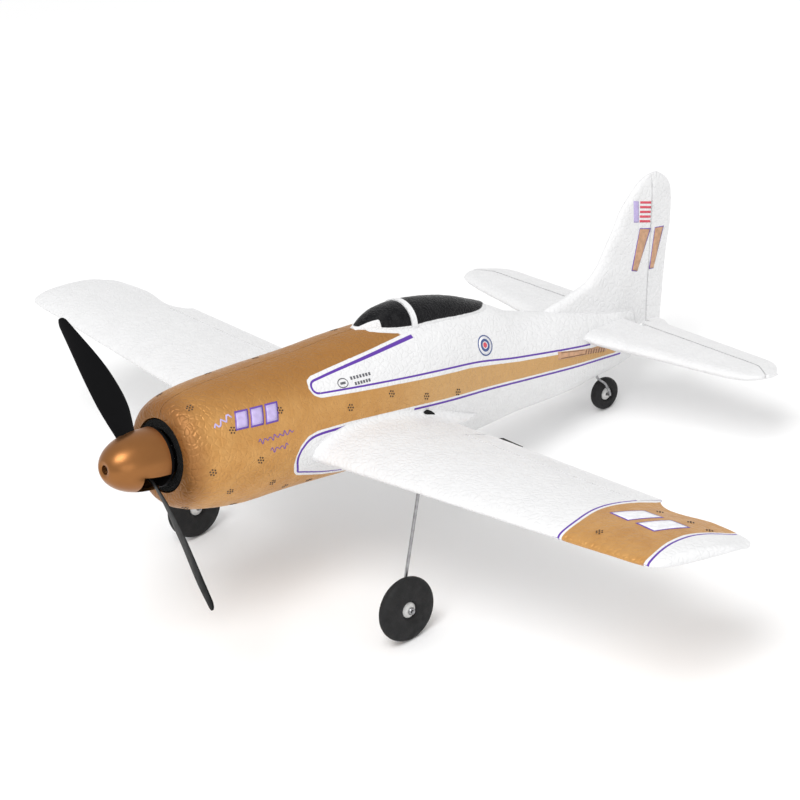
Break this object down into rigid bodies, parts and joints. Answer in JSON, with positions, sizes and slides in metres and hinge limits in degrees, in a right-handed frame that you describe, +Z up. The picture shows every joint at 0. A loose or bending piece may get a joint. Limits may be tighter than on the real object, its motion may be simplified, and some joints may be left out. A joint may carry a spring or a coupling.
{
  "type": "radio-controlled model aeroplane",
  "caption": "Small foam radio-controlled fighter-style plane: low wing, bubble canopy, spinner and propeller, wire undercarriage, working control surfaces.",
  "frame": {"origin": "centre of the bounding box in X and Y, on the ground under the wheels at Z = 0", "axes": "+X nose, +Y left wing tip, +Z up; the plane stands on its three wheels, nose-up"},
  "size_m": [0.2934, 0.3848, 0.1281],
  "materials": {
    "aluminium": "turned",
    "battery_wrap": "dark shrink wrap",
    "black_paint": "semi-gloss black",
    "black_plastic": "semi-gloss black",
    "carbon": "carbon fibre rod",
    "circuit_board": "green circuit board",
    "copper": "enamelled copper winding",
    "gold_plastic": "satin gold paint on plastic",
    "steel": "bright drawn wire",
    "tyre_rubber": "matt black foam rubber",
    "white_foam": "painted foam, satin",
    "white_plastic": "satin"
  },
  "bodies": {
    "airframe": {"fuselage_left": "white_foam", "fuselage_right": "white_foam", "wing_left": "white_foam", "wing_right": "white_foam", "wing_spar": "carbon", "stabiliser": "white_foam", "fin": "white_foam", "canopy": "black_paint", "canopy_bow": "white_foam", "windscreen": "black_paint", "nose_ring": "black_plastic", "motor_mount": "black_plastic", "motor_base": "aluminium", "motor_stator": "copper", "radio_tray": "black_plastic", "flight_board": "circuit_board", "speed_controller": "circuit_board", "elevator_servo": "black_plastic", "rudder_servo": "black_plastic", "aileron_servo": "black_plastic", "gear_socket_left": "black_plastic", "gear_socket_right": "black_plastic", "gear_wire_left": "steel", "gear_wire_right": "steel", "wheel_keeper_left": "steel", "wheel_keeper_right": "steel"},
    "rotor": {"propeller": "black_plastic", "spinner": "gold_plastic", "spinner_backplate": "black_plastic", "spinner_screw": "steel", "prop_adapter": "aluminium", "motor_shaft": "steel", "motor_bell": "black_paint"},
    "left_aileron": {"aileron_left": "white_foam", "torque_rod_left": "steel", "aileron_horn_left": "black_plastic"},
    "right_aileron": {"aileron_right": "white_foam", "torque_rod_right": "steel", "aileron_horn_right": "black_plastic"},
    "servo_arm": {"aileron_servo_arm": "white_plastic"},
    "left_link": {"aileron_link_left": "steel"},
    "right_link": {"aileron_link_right": "steel"},
    "elevator": {"elevator_left": "white_foam", "elevator_right": "white_foam", "elevator_joiner": "steel", "elevator_horn": "black_plastic"},
    "elevator_rod": {"elevator_pushrod": "steel"},
    "rudder": {"rudder": "white_foam", "rudder_horn": "black_plastic"},
    "rudder_rod": {"rudder_pushrod": "steel"},
    "left_wheel": {"main_wheel_left_tyre": "tyre_rubber", "main_wheel_left_hub": "white_plastic"},
    "right_wheel": {"main_wheel_right_tyre": "tyre_rubber", "main_wheel_right_hub": "white_plastic"},
    "tail_fork": {"tail_wire": "steel"},
    "tail_wheel": {"tail_wheel_tyre": "tyre_rubber", "tail_wheel_hub": "white_plastic"},
    "battery_door": {"battery_hatch": "white_foam", "battery": "battery_wrap"}
  },
  "joints": [
    {"name": "prop_spin", "type": "hinge", "parent": "airframe", "child": "rotor", "pos_m": [0.13189, 0, 0.0849], "axis": [0.9746, 0, 0.2239], "continuous": true},
    {"name": "left_aileron_hinge", "type": "hinge", "parent": "airframe", "child": "left_aileron", "pos_m": [0.01579, 0.047, 0.05387], "axis": [-0.0047, 0.9998, 0.0204], "range_deg": [-20, 20]},
    {"name": "right_aileron_hinge", "type": "hinge", "parent": "airframe", "child": "right_aileron", "pos_m": [0.01579, -0.047, 0.05387], "axis": [0.0047, 0.9998, -0.0204], "range_deg": [-20, 20]},
    {"name": "servo_arm_pivot", "type": "hinge", "parent": "airframe", "child": "servo_arm", "pos_m": [0.031, 0, 0.06583], "axis": [-0.2239, 0, 0.9746], "range_deg": [-20, 20]},
    {"name": "left_link_slide", "type": "slide", "parent": "airframe", "child": "left_link", "axis": [0.9746, 0, 0.2239], "range_m": [-0.0022, 0.0022]},
    {"name": "right_link_slide", "type": "slide", "parent": "airframe", "child": "right_link", "axis": [0.9746, 0, 0.2239], "range_m": [-0.0022, 0.0022]},
    {"name": "elevator_hinge", "type": "hinge", "parent": "airframe", "child": "elevator", "pos_m": [-0.11005, 0, 0.03486], "axis": [0, 1, 0], "range_deg": [-20, 20]},
    {"name": "elevator_rod_slide", "type": "slide", "parent": "airframe", "child": "elevator_rod", "axis": [0.9746, 0, 0.2239], "range_m": [-0.0028, 0.0028]},
    {"name": "rudder_hinge", "type": "hinge", "parent": "airframe", "child": "rudder", "pos_m": [-0.12881, 0, 0.05579], "axis": [-0.2239, 0, 0.9746], "range_deg": [-25, 25]},
    {"name": "rudder_rod_slide", "type": "slide", "parent": "airframe", "child": "rudder_rod", "axis": [0.9746, 0, 0.2239], "range_m": [-0.003, 0.003]},
    {"name": "tail_wheel_steer", "type": "hinge", "parent": "airframe", "child": "tail_fork", "pos_m": [-0.09466, 0, 0.02055], "axis": [-0.2239, 0, 0.9746], "range_deg": [-25, 25]},
    {"name": "left_wheel_spin", "type": "hinge", "parent": "airframe", "child": "left_wheel", "pos_m": [0.07039, 0.0652, 0.0127], "axis": [0, 1, 0], "continuous": true},
    {"name": "right_wheel_spin", "type": "hinge", "parent": "airframe", "child": "right_wheel", "pos_m": [0.07039, -0.0652, 0.0127], "axis": [0, 1, 0], "continuous": true},
    {"name": "tail_wheel_spin", "type": "hinge", "parent": "tail_fork", "child": "tail_wheel", "pos_m": [-0.09642, 0, 0.0068], "axis": [0, 1, 0], "continuous": true},
    {"name": "battery_door_pull", "type": "slide", "parent": "airframe", "child": "battery_door", "axis": [0.2239, 0, -0.9746], "range_m": [0, 0.03]}
  ],
  "couplings": [
    {"joint": "right_aileron_hinge", "follows": "left_aileron_hinge", "ratio": -1},
    {"joint": "servo_arm_pivot", "follows": "left_aileron_hinge", "ratio": -1},
    {"joint": "left_link_slide", "follows": "left_aileron_hinge", "m_per_rad": 0.006},
    {"joint": "right_link_slide", "follows": "left_aileron_hinge", "m_per_rad": -0.006},
    {"joint": "elevator_rod_slide", "follows": "elevator_hinge", "m_per_rad": -0.0076},
    {"joint": "rudder_rod_slide", "follows": "rudder_hinge", "m_per_rad": 0.0066},
    {"joint": "tail_wheel_steer", "follows": "rudder_hinge", "ratio": 0.8}
  ]
}
